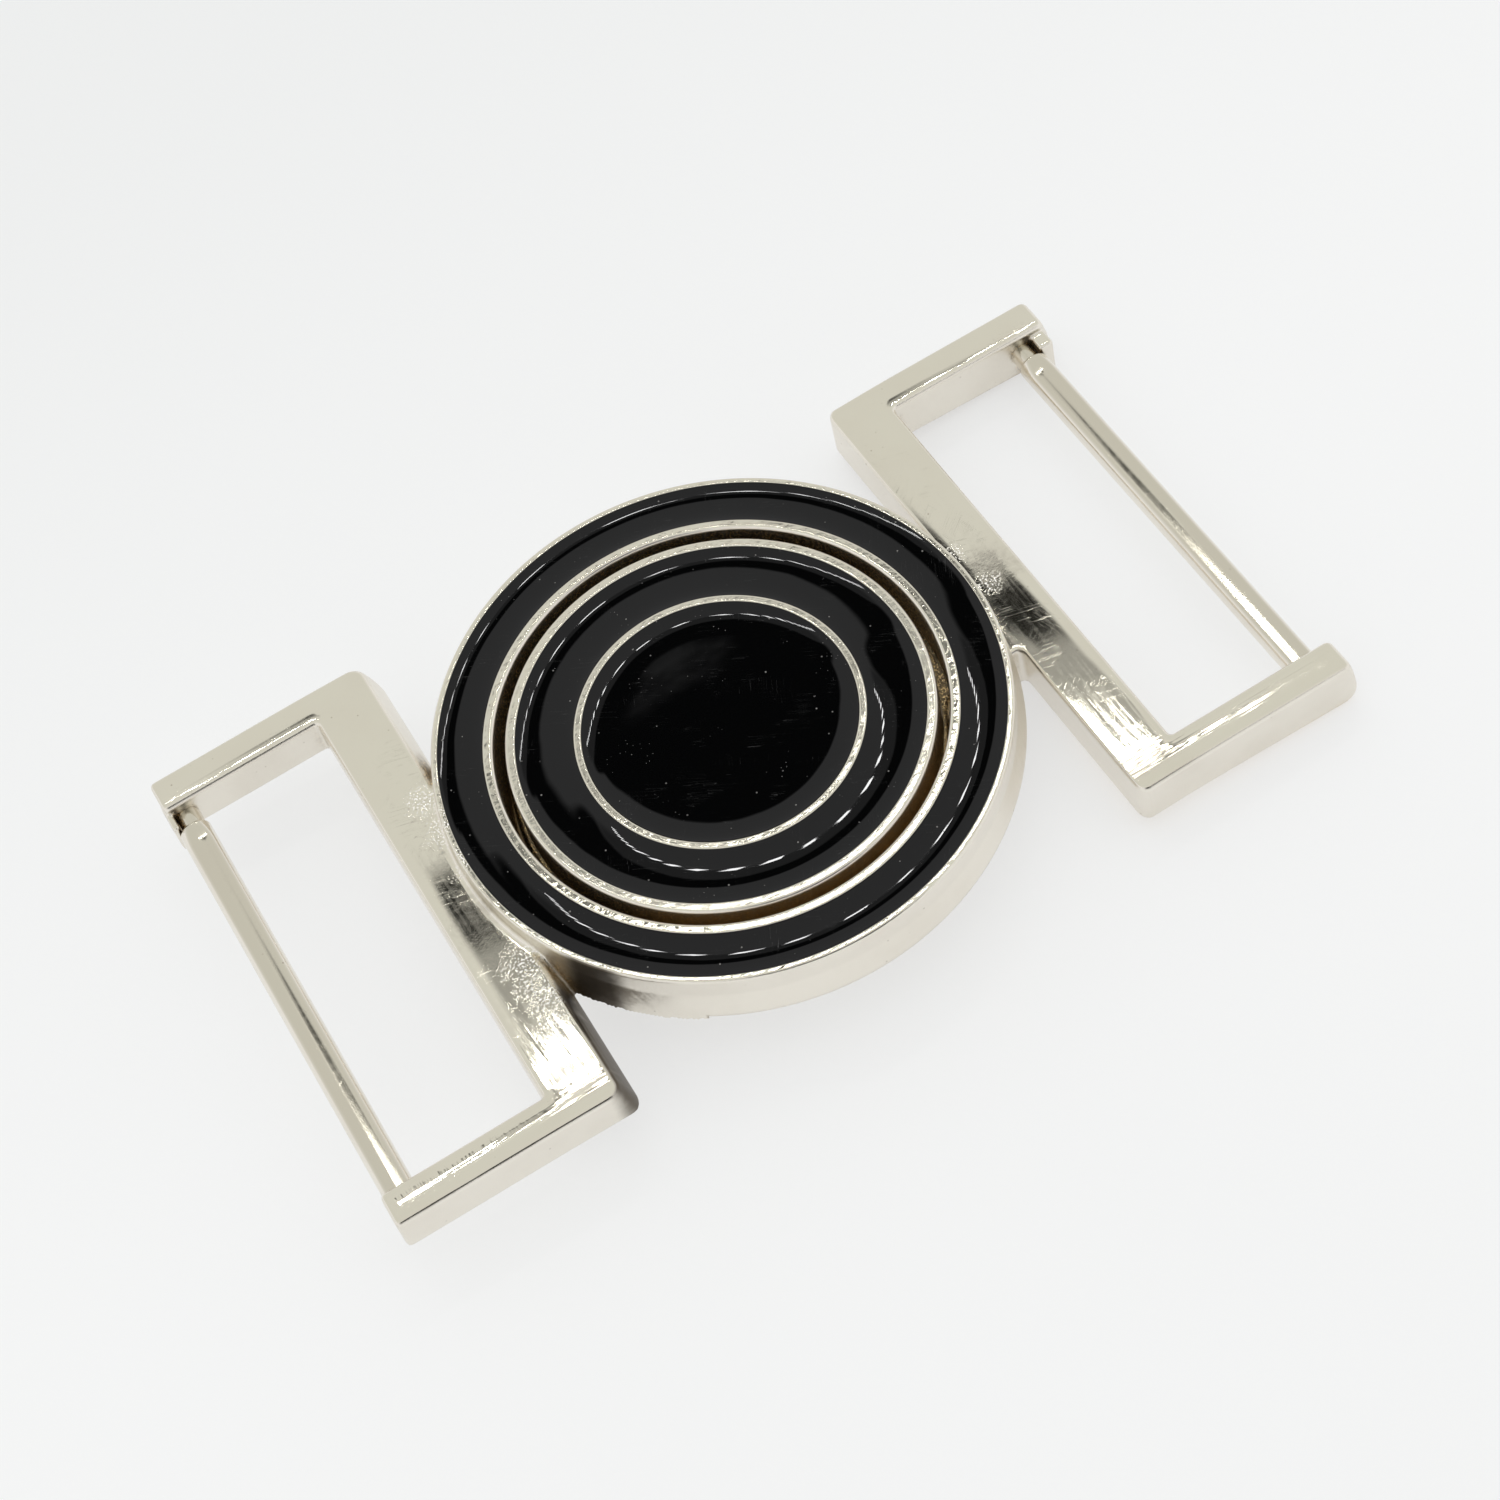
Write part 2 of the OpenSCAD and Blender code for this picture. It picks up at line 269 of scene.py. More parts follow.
def disc_half_field(u, v, z):
    """Strap frame, tongue and round flanged pad in one casting."""
    tongue = box2(u, v, -2, RIGHT.bar + 1, -TONGUE_W / 2, TONGUE_W / 2, 0.2)
    pad = np.hypot(u, v) - PAD_R
    solid = RIGHT.field(u, v, z, body=round_min(tongue, pad, 1.5))
    flange = round_max(np.hypot(u, v) - FLANGE_R, np.maximum(-z, z - FLANGE_H), 0.4)
    solid = round_min(solid, flange, 0.5)
    recess = np.maximum(np.hypot(u, v) - RIVET_R - FREE, z - RIVET_H - FREE)
    shank = np.hypot(u, v) - RIVET_SHANK - FREE
    return round_max(solid, -np.minimum(recess, shank), 0.12)


# ---------------------------------------------------------------- meshes
def gradient(field, points, h=0.02):
    """Direction in which a field grows, at each point."""
    slope = np.empty_like(points)
    for axis in range(3):
        step = np.zeros(3)
        step[axis] = h
        slope[:, axis] = field(*(points + step).T) - field(*(points - step).T)
    return slope / (2 * h)


def unit(vectors):
    """Vectors at length 1."""
    return vectors / np.maximum(np.linalg.norm(vectors, axis=1, keepdims=True), 1e-9)


def surface_net(field, low, high, step, passes=4):
    """Closed quad mesh of a field's zero surface, eased along the surface and settled on it."""
    axes = [np.arange(a, b + step, step) for a, b in zip(low, high)]
    value = field(*np.meshgrid(*axes, indexing="ij"))
    inside = value < 0
    corners = list(itertools.product((0, 1), repeat=3))
    count = sum(inside[tuple(slice(o, n - 1 + o) for o, n in zip(c, value.shape))].astype(int)
                for c in corners)
    cells = np.argwhere((count > 0) & (count < 8))
    index = np.full(count.shape, -1)
    index[tuple(cells.T)] = np.arange(len(cells))
    total, hits = np.zeros((len(cells), 3)), np.zeros((len(cells), 1))
    for axis in range(3):
        for corner in corners:
            if corner[axis]:
                continue
            start = cells + corner
            end = start.copy()
            end[:, axis] += 1
            a, b = value[tuple(start.T)], value[tuple(end.T)]
            crossed = (a < 0) != (b < 0)
            part = np.where(crossed, a / np.where(crossed, a - b, 1), 0)[:, None]
            total += np.where(crossed[:, None], start + part * (end - start), 0)
            hits += crossed[:, None]
    points = np.array(low) + step * total / hits

    quads = []
    for axis in range(3):
        j, k = (axis + 1) % 3, (axis + 2) % 3
        near = [slice(1, -1)] * 3
        far = [slice(1, -1)] * 3
        near[axis], far[axis] = slice(0, -1), slice(1, None)
        here, there = inside[tuple(near)], inside[tuple(far)]
        edges = np.argwhere(here != there)
        outward = here[tuple(edges.T)]
        edges[:, j] += 1
        edges[:, k] += 1
        loop = []
        for dj, dk in ((-1, -1), (0, -1), (0, 0), (-1, 0)):
            cell = edges.copy()
            cell[:, j] += dj
            cell[:, k] += dk
            loop.append(index[tuple(cell.T)])
        loop = np.stack(loop, axis=1)
        quads.append(np.where(outward[:, None], loop, loop[:, ::-1]))
    quads = np.concatenate(quads)

    for turn in range(passes):
        if turn:
            a, b = quads.ravel(), np.roll(quads, -1, axis=1).ravel()
            share = np.bincount(a, minlength=len(points)) + np.bincount(b, minlength=len(points))
            mean = np.stack([np.bincount(a, points[b, i], len(points)) + np.bincount(b, points[a, i],
                             len(points)) for i in range(3)], axis=1) / share[:, None]
            points = points + 0.6 * (mean - points)
        for _ in range(2):
            slope = gradient(field, points)
            size = np.maximum((slope ** 2).sum(axis=1), 0.25)
            move = field(*points.T) / size
            points = points - np.clip(move, -step, step)[:, None] * slope
    return points, quads


def filleted(corners, arc_points=5):
    """Points and outward normals along an outline (radius, height, fillet) with the solid on its left."""
    points, normals = [], []
    count = len(corners)
    for i, (r, z, fillet) in enumerate(corners):
        here = np.array((r, z), float)
        before = np.array(corners[i - 1][:2], float)
        after = np.array(corners[(i + 1) % count][:2], float)
        way_in = (here - before) / np.linalg.norm(here - before)
        way_out = (after - here) / np.linalg.norm(after - here)
        bend = math.atan2(way_in[0] * way_out[1] - way_in[1] * way_out[0], way_in @ way_out)
        reach = fillet * math.tan(abs(bend) / 2)
        normal = np.array((way_in[1], -way_in[0]))
        side = 1 if bend > 0 else -1
        centre = here - way_in * reach - normal * fillet * side
        for part in np.linspace(0, 1, arc_points):
            c, s = math.cos(bend * part), math.sin(bend * part)
            turned = np.array((normal[0] * c - normal[1] * s, normal[0] * s + normal[1] * c))
            points.append(centre + turned * fillet * side)
            normals.append(turned)
    return np.array(points), np.array(normals)


def revolve(outline, normals, open_ends=False):
    """Turned piece: the outline's points (radius, height) carried round the axis."""
    angles = np.arange(SEGMENTS) * 2 * math.pi / SEGMENTS
    c, s = np.cos(angles)[:, None], np.sin(angles)[:, None]

    def carry(pairs):
        r, h = pairs[:, 0][None], pairs[:, 1][None]
        return np.stack((r * c, r * s, np.broadcast_to(h, (SEGMENTS, len(pairs)))), axis=2).reshape(-1, 3)

    n = len(outline)
    rows = np.arange(SEGMENTS)[:, None] * n
    after = np.roll(rows, -1, axis=0)
    k = np.arange(n - 1 if open_ends else n)[None]
    nxt = (k + 1) % n
    faces = np.stack((rows + k, after + k, after + nxt, rows + nxt), axis=2).reshape(-1, 4).tolist()
    points, directions = carry(outline), carry(normals)
    if open_ends:
        for end, way in ((0, 1), (n - 1, -1)):
            faces.append((np.arange(SEGMENTS) * n + end)[::-way].tolist())
    return points, faces, directions


def to_model(points):
    """From the ring half's own axes, opening towards +U, to the model's."""
    u, v, z = points.T
    c, s = math.cos(TURN), math.sin(TURN)
    return np.stack((-u * c + v * s, u * s + v * c, z), axis=1)


def scratch_object(name, points, faces, number):
    """A temporary object whose faces all carry one number."""
    mesh = bpy.data.meshes.new(name)
    mesh.from_pydata(points.tolist(), [], faces if isinstance(faces, list) else faces.tolist())
    for _ in range(3):
        mesh.materials.append(None)
    mesh.polygons.foreach_set("material_index", [number] * len(mesh.polygons))
    thing = bpy.data.objects.new(name, mesh)
    bpy.context.scene.collection.objects.link(thing)
    return thing


def combined(base, others):
    """One mesh of base with other solids joined to it or cut from it."""
    for other, operation in others:
        step = base.modifiers.new("step", "BOOLEAN")
        step.object, step.operation = other, operation
        step.solver = "MANIFOLD"
    made = base.evaluated_get(bpy.context.evaluated_depsgraph_get())
    mesh = bpy.data.meshes.new_from_object(made)
    for thing in [base] + [other for other, _ in others]:
        bpy.data.objects.remove(thing)
    return mesh


def outline_normals(points, outline, normals):
    """Normals of a turned surface at any points on it, from its outline."""
    rho = np.hypot(points[:, 0], points[:, 1])
    place = np.stack((rho, points[:, 2]), axis=1)
    a, b = outline, np.roll(outline, -1, axis=0)
    na, nb = normals, np.roll(normals, -1, axis=0)
    best, chosen = np.full(len(points), 1e9), np.zeros((len(points), 2))
    for p, q, np_, nq in zip(a, b, na, nb):
        span = q - p
        length = max(span @ span, 1e-12)
        t = np.clip((place - p) @ span / length, 0, 1)[:, None]
        away = ((place - p - t * span) ** 2).sum(axis=1)
        closer = away < best
        best[closer] = away[closer]
        chosen[closer] = (np_ + (nq - np_) * t)[closer]
    c, s = points[:, 0] / rho, points[:, 1] / rho
    return unit(np.stack((chosen[:, 0] * c, chosen[:, 0] * s, chosen[:, 1]), axis=1))


def link(name, mesh, body, nodes, material):
    """Puts a finished mesh in the scene as a piece of the object."""
    mesh.materials.clear()
    mesh.materials.append(material)
    piece = bpy.data.objects.new(name, mesh)
    bpy.context.scene.collection.objects.link(piece)
    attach(piece, body)
    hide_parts(*nodes)
    return piece


def make_piece(name, points, faces, normals, body, nodes, material, mirrored=False):
    """A piece from points and normals in millimetres, in the model's axes."""
    faces = faces if isinstance(faces, list) else faces.tolist()
    if mirrored:
        faces = [face[::-1] for face in faces]
    mesh = bpy.data.meshes.new(name)
    mesh.from_pydata((points * MM).tolist(), [], faces)
    mesh.shade_smooth()
    mesh.normals_split_custom_set_from_vertices(unit(normals).tolist())
    return link(name, mesh, body, nodes, material)


# ---------------------------------------------------------------- materials
class Material:
    """A node material built up by short calls; texture coordinates are millimetres on the piece."""

    def __init__(self, name):
        self.data = bpy.data.materials.new(name)
        self.data.use_nodes = True
        self.tree = self.data.node_tree
        self.shader = self.tree.nodes["Principled BSDF"]
        place = self.add("ShaderNodeTexCoord").outputs["Object"]
        self.mm = self.vector("SCALE", place, scale=1 / MM)

    def add(self, kind, **settings):
        """A new node with some of its settings."""
        node = self.tree.nodes.new(kind)
        for key, value in settings.items():
            setattr(node, key, value)
        return node

    def plug(self, socket, value):
        """Links a socket to another, or gives it a value."""
        if isinstance(value, bpy.types.NodeSocket):
            self.tree.links.new(value, socket)
        else:
            socket.default_value = value

    def vector(self, operation, a, b=None, scale=None):
        """One step of vector arithmetic."""
        node = self.add("ShaderNodeVectorMath", operation=operation)
        self.plug(node.inputs[0], a)
        if b is not None:
            self.plug(node.inputs[1], b)
        if scale is not None:
            self.plug(node.inputs["Scale"], scale)
        return node.outputs["Value" if operation in ("LENGTH", "DISTANCE") else "Vector"]

    def math(self, operation, a, b=0.0, c=None):
        """One step of arithmetic."""
        node = self.add("ShaderNodeMath", operation=operation)
        self.plug(node.inputs[0], a)
        self.plug(node.inputs[1], b)
        if c is not None:
            self.plug(node.inputs[2], c)
        return node.outputs[0]

    def total(self, *values):
        """The sum of two or more values."""
        return functools.reduce(functools.partial(self.math, "ADD"), values)

    def product(self, *values):
        """The product of two or more values."""
        return functools.reduce(functools.partial(self.math, "MULTIPLY"), values)

    def parts(self):
        """X, Y and Z on the piece, in millimetres."""
        node = self.add("ShaderNodeSeparateXYZ")
        self.plug(node.inputs[0], self.mm)
        return node.outputs["X"], node.outputs["Y"], node.outputs["Z"]

    def step(self, value, low, high, out_low=0.0, out_high=1.0):
        """A smooth step from out_low to out_high as value goes from low to high."""
        node = self.add("ShaderNodeMapRange", interpolation_type="SMOOTHSTEP")
        for socket, given in zip(node.inputs, (value, low, high, out_low, out_high)):
            self.plug(socket, given)
        return node.outputs[0]

    def noise(self, scale, detail=3.0, stretch=None, offset=0.0, roughness=0.55):
        """Noise whose features are about 1/scale millimetres across, stretched by a factor per axis."""
        place = self.vector("ADD", self.mm, (offset, -offset, offset / 2))
        if stretch is not None:
            place = self.vector("MULTIPLY", place, stretch)
        node = self.add("ShaderNodeTexNoise")
        for key, value in (("Vector", place), ("Scale", scale), ("Detail", detail),
                           ("Roughness", roughness)):
            self.plug(node.inputs[key], value)
        return node.outputs["Fac"]

    def turned(self, degrees):
        """Coordinates turned about Z, for scratches that run at an angle."""
        node = self.add("ShaderNodeVectorRotate", rotation_type="Z_AXIS")
        self.plug(node.inputs["Vector"], self.mm)
        node.inputs["Angle"].default_value = math.radians(degrees)
        return node.outputs["Vector"]

    def scratches(self, degrees, density, width=0.05):
        """Thin straight hairlines at an angle, from 0 to 1."""
        place = self.vector("MULTIPLY", self.turned(degrees), (0.09, 2.6, 0.4))
        node = self.add("ShaderNodeTexNoise")
        for key, value in (("Vector", place), ("Scale", 1.0), ("Detail", 2.0), ("Roughness", 0.6)):
            self.plug(node.inputs[key], value)
        line = self.math("ABSOLUTE", self.math("SUBTRACT", node.outputs["Fac"], 0.5))
        line = self.step(line, 0.0, width * 0.12, 1.0, 0.0)
        where = self.step(self.noise(0.33, 2.0, offset=degrees), 1 - density - 0.08, 1 - density + 0.08)
        return self.product(line, where)

    def pits(self, scale, size, amount, offset=0.0):
        """Small round pits, gathered where a broad noise is above 1 - amount."""
        node = self.add("ShaderNodeTexVoronoi")
        self.plug(node.inputs["Vector"], self.vector("ADD", self.mm, (offset, offset, 0)))
        self.plug(node.inputs["Scale"], scale)
        pit = self.step(node.outputs["Distance"], size * 0.4, size, 1.0, 0.0)
        where = self.step(self.noise(0.3, 3.0, offset=offset + 3), 1 - amount - 0.05, 1 - amount + 0.08)
        return self.product(pit, where)

    def spots(self, places, ragged=1.6):
        """Soft patches, 1 in the middle of each (x, y, radius), with ragged edges."""
        total = 0.0
        if not places:
            return total
        ragged = self.product(self.noise(0.9, 5.0, offset=7), ragged)
        for x, y, radius in places:
            flat = self.vector("MULTIPLY", self.vector("SUBTRACT", self.mm, (x, y, 0)), (1, 1, 0))
            reach = self.math("DIVIDE", self.vector("LENGTH", flat), radius)
            spot = self.step(self.math("ADD", reach, ragged), 0.8, 1.7, 1.0, 0.0)
            total = self.math("MAXIMUM", spot, total)
        return total

    def mix(self, amount, a, b):
        """Colour a where amount is 0, b where it is 1."""
        node = self.add("ShaderNodeMix", data_type="RGBA")
        self.plug(node.inputs["Factor"], amount)
        self.plug(node.inputs["A"], (*a, 1) if isinstance(a, tuple) else a)
        self.plug(node.inputs["B"], (*b, 1) if isinstance(b, tuple) else b)
        return node.outputs["Result"]

    def crevices(self, reach):
        """1 deep in corners and gaps, 0 on open faces."""
        node = self.add("ShaderNodeAmbientOcclusion", samples=8)
        node.inputs["Distance"].default_value = reach * MM
        return self.math("SUBTRACT", 1.0, node.outputs["AO"])

    def facing_up(self, low, high):
        """1 on faces that look up, 0 on walls and undersides."""
        normal = self.add("ShaderNodeNewGeometry").outputs["Normal"]
        node = self.add("ShaderNodeSeparateXYZ")
        self.plug(node.inputs[0], normal)
        return self.step(node.outputs["Z"], low, high)

    def surface(self, colour, roughness, height, **fixed):
        """Joins colour, roughness and a height in millimetres to the shader."""
        self.plug(self.shader.inputs["Base Color"], colour)
        self.plug(self.shader.inputs["Roughness"], roughness)
        bump = self.add("ShaderNodeBump")
        bump.inputs["Distance"].default_value = MM
        self.plug(bump.inputs["Height"], height)
        self.plug(self.shader.inputs["Normal"], bump.outputs["Normal"])
        for key, value in fixed.items():
            self.shader.inputs[key.replace("_", " ")].default_value = value
        return self.data


POLISHED = (0.655, 0.628, 0.52)              # the frames' buffed tops
SATIN = (0.57, 0.54, 0.44)                   # the crossbars
CAST_LIT_WALLS = (0.84, 0.80, 0.72)                    # walls, as cast and plated, painted lighter than the tops for the light they catch
AGED = (0.56, 0.50, 0.41)
PITTED = (0.30, 0.26, 0.20)
# dark brown of grime, also used as painted shade in the corners and at the foot of the gap
GRIME_AND_SHADE = (0.11, 0.072, 0.028)
BRASS_AND_HIGHLIGHT = (0.95, 0.70, 0.34)                   # where the plating is thin, and a painted warm highlight on the near side
# wall colour painted dark as shade: the shaded gap reflected in the walls
SHADED_WALL_TONE = (0.07, 0.053, 0.035)
# colour of painted dark reflections on the bars' tops
DARK_REFLECTION_TONE = (0.40, 0.37, 0.31)
# white of painted glints
GLINT_WHITE = (1.0, 0.98, 0.93)
BLACK = (0.0012, 0.0013, 0.0014)             # the enamel
DUST = (0.30, 0.29, 0.27)
SCRATCH = (0.5, 0.5, 0.48)


def grime_and_shade_mask(m, fine, from_axis, z):
    """1 in crevices and on the walls of the gap between the ring and the disc: grime, and painted shade
    where they lie in shadow.
    """
    # grime in the corners, with painted shade where the ambient occlusion is deep
    dirt_and_shade = m.step(m.product(m.crevices(2.4), m.math("ADD", fine, 0.5)), 0.34, 0.8)
    off_middle = m.math("ABSOLUTE", m.math("SUBTRACT", from_axis, (DISC_R + BORE_R) / 2))
    # painted shade on the walls of the gap between the ring and the disc
    gap = m.product(m.step(off_middle, 0.4, 0.52, 1.0, 0.0),
                    m.step(z, RING_TOP - 1.0, RING_TOP - 0.4, 1.0, 0.0),
                    m.step(z, RING_BACK + 0.6, RING_BACK + 0.9))
    return m.math("MAXIMUM", dirt_and_shade, gap)


def shadowed_foot(m, from_axis, z):
    """How dark the painted shade is at the foot of that gap, from the flange up to the ring's back."""
    return m.product(m.step(from_axis, FLANGE_R - 0.5, FLANGE_R - 0.2, 1.0, 0.0),
                     m.step(z, FLANGE_H - 0.2, FLANGE_H - 0.05),
                     m.step(z, RING_BACK + 0.5, RING_BACK + 1.1, 0.9, 0.0))


def nickel(name, dark_reflections=(), shaded_walls=(), glint_spots=(), pitting=0.3, polished=POLISHED, top_roughness=0.04,
           wall_roughness=0.3, lean=0.0, roll=0.0, streaks=0.0):
    """Nickel plate: polished tops with hairlines, as-cast walls painted lighter, grime and painted shade,
    painted dark reflections.

    dark_reflections, shaded_walls and glint_spots list the (x, y, radius) of patches painted darker as dark
    reflections, walls painted dark as shade and clusters of painted glints; lean is how much all tops tilt
    towards -Y, roll how much more the near end of the frame's bar does, and streaks how much that varies.
    """
    m = Material(name)
    _, y, z = m.parts()
    from_axis = m.vector("LENGTH", m.vector("MULTIPLY", m.mm, (1, 1, 0)))
    top = m.facing_up(0.72, 0.97)
    wall = m.math("SUBTRACT", 1.0, top)
    broad, fine, grit = m.noise(0.16, 4.0), m.noise(2.2, 6.0, offset=11), m.noise(6.0, 4.0, offset=37)
    hairlines = m.math("MAXIMUM", m.scratches(17, 0.45), m.scratches(74, 0.4))
    hairlines = m.math("MAXIMUM", hairlines, m.scratches(-38, 0.42, width=0.03))
    pits = m.pits(1.7, 0.22, pitting)
    dust = m.pits(0.8, 0.09, 0.5, offset=23)
    dull = m.spots(dark_reflections)
    glint = m.product(m.spots(glint_spots, ragged=1.3), m.step(m.noise(5.0, 4.0, offset=61), 0.545, 0.585))
    # painted shade on walls that face the shaded gap
    wall_shade = m.product(m.spots(shaded_walls, ragged=0.3), wall, 0.9)
    dirt_and_shade = grime_and_shade_mask(m, fine, from_axis, z)
    # thin plating at random, and a painted warm highlight towards -Y, the near side
    brass_and_highlight = m.math("MAXIMUM", m.step(y, -14.0, -7.0, 0.65, 0.0), m.step(grit, 0.49, 0.65))

    # walls painted lighter than the tops: painted light
    colour = m.mix(top, CAST_LIT_WALLS, polished)
    colour = m.mix(m.step(broad, 0.35, 0.75, 0.0, 0.16), colour, AGED)
    colour = m.mix(m.product(m.math("MAXIMUM", pits, dust), 0.55), colour, PITTED)
    # painted dark reflection, mottled, on a slightly rougher patch
    colour = m.mix(m.product(dull, m.step(fine, 0.3, 0.6, 0.1, 0.5)), colour, DARK_REFLECTION_TONE)
    # painted glints: bright specks in clusters on the tops
    colour = m.mix(glint, colour, GLINT_WHITE)
    # grime and painted shade in the corners and the gap
    colour = m.mix(m.product(dirt_and_shade, 0.9), colour, m.mix(brass_and_highlight, GRIME_AND_SHADE, BRASS_AND_HIGHLIGHT))
    colour = m.mix(wall_shade, colour, SHADED_WALL_TONE)
    # painted shade at the foot of the gap
    colour = m.mix(shadowed_foot(m, from_axis, z), colour, GRIME_AND_SHADE)

    on_arm = m.step(m.math("ABSOLUTE", y), *ARM_START)
    on_bar = m.math("SUBTRACT", 1.0, on_arm)
    near = m.step(y, *NEAR_END, 1.0, 0.0)
    along_x = m.noise(1.0, 1.0, stretch=(0.10, 2.6, 1.0), offset=29)
    along_y = m.noise(1.0, 1.0, stretch=(2.6, 0.11, 1.0), offset=53)
    buffed = m.total(m.product(on_arm, along_x), m.product(on_bar, along_y))

    rough = m.total(m.math("MULTIPLY_ADD", top, top_roughness - wall_roughness, wall_roughness),
                    m.step(fine, 0.35, 0.75, -0.01, 0.015), m.step(buffed, 0.46, 0.6, 0.0, 0.018),
                    m.product(hairlines, 0.045), m.product(m.total(dirt_and_shade, wall_shade), 0.16),
                    m.product(glint, 0.4), m.product(dull, 0.03))

    deep = m.total(m.product(on_arm, 0.002), m.product(near, on_arm, 0.012), 0.0004)
    tilt = m.math("MULTIPLY_ADD", m.math("SUBTRACT", along_y, 0.5), streaks, roll)
    rims = m.step(from_axis, RING_R - 0.2, RING_R + 0.1, 1.0, 0.0)
    grain = m.math("MULTIPLY_ADD", wall, 0.01, 0.00012)
    height = m.total(m.product(m.noise(0.25, 1.0, offset=2), 0.002), m.product(y, lean),
                     m.product(buffed, deep),
                     m.product(m.math("SUBTRACT", y, NEAR_END[0]), near, on_bar, tilt),
                     m.product(rims, m.noise(1.1, 5.0), 0.025),
                     m.product(m.noise(5.5, 4.0, offset=5), grain), m.product(hairlines, -0.0004),
                     m.product(pits, -0.02), m.product(glint, 0.008),
                     m.product(dull, m.noise(4.5, 3.0), 0.002), m.product(dirt_and_shade, grit, 0.05))
    return m.surface(colour, rough, height, Metallic=1.0)


def enamel(name):
    """Poured black enamel: glossy, slightly wavy, with specks of dust and hairline scratches."""
    m = Material(name)
    specks = m.pits(0.75, 0.07, 0.55, offset=31)
    specks = m.math("MAXIMUM", specks, m.pits(2.4, 0.12, 0.38, offset=47))
    hairlines = m.math("MAXIMUM", m.scratches(33, 0.4, width=0.025), m.scratches(-61, 0.35, width=0.025))
    haze = m.noise(0.22, 4.0, offset=9)
    colour = m.mix(m.product(specks, 0.8), BLACK, DUST)
    colour = m.mix(m.product(hairlines, 0.06), colour, SCRATCH)
    rough = m.total(m.step(haze, 0.3, 0.8, 0.01, 0.025),
                    m.product(m.math("MAXIMUM", specks, hairlines), 0.35))
    height = m.total(m.product(m.noise(0.16, 1.0, offset=17), 0.012),
                     m.product(m.noise(0.6, 1.0, offset=19), 0.0008), m.product(specks, 0.02))
    return m.surface(colour, rough, height, Metallic=0.0, IOR=1.345)


def matte(name, colour, far=None, grain=0.0):
    """Plain stage material with a faint texture; it may change to another colour towards +Y."""
    m = Material(name)
    tone = m.step(m.noise(0.02, 3.0), 0.3, 0.7)
    shaded = m.mix(tone, colour, tuple(0.985 * c for c in colour))
    if far is not None:
        _, y, _ = m.parts()
        # darker towards +Y where far is given: painted shade on the floor
        shaded = m.mix(m.step(y, -20, 130), shaded, far)
    return m.surface(shaded, 0.9, m.product(m.noise(2.0, 5.0), grain), Metallic=0.0)


# ---------------------------------------------------------------- the object's pieces
# painted dark reflections in the middle of each bar's top
LEFT_DARK_REFLECTIONS = [(-24.5, -2.5, 3.8)]
RIGHT_DARK_REFLECTIONS = [(26.2, 1.5, 3.2)]
# painted shade on the left bar's wall beside the ring
LEFT_SHADED_WALLS = [(-20.2, -13.2, 2.2), (-21.4, -16.0, 2.0), (-21.6, -18.6, 2.0), (-21.7, -21.2, 1.6)]
# clusters of painted glints on the bars
LEFT_GLINTS = [(-22.9, 9.0, 1.8), (-22.7, 5.5, 2.0), (-22.6, 1.5, 1.7), (-23.0, -8.5, 2.4),
               (-23.0, -11.5, 2.6), (-24.0, -14.5, 1.8)]
RIGHT_GLINTS = [(24.6, 4.5, 1.2), (25.2, 0.5, 1.4)]
ring_plate = nickel("nickel_ring_half", LEFT_DARK_REFLECTIONS, LEFT_SHADED_WALLS, LEFT_GLINTS, pitting=0.3,
                    lean=0.005, roll=0.003, streaks=0.04)
half_plate = nickel("nickel_disc_half", RIGHT_DARK_REFLECTIONS, (), RIGHT_GLINTS, pitting=0.25,
                    roll=-0.003, streaks=0.014)
bar_plate = nickel("nickel_crossbars", pitting=0.25, polished=SATIN, top_roughness=0.1,
                   wall_roughness=0.16)
disc_plate = nickel("nickel_disc", pitting=0.3, top_roughness=0.1)
black = enamel("enamel_black")


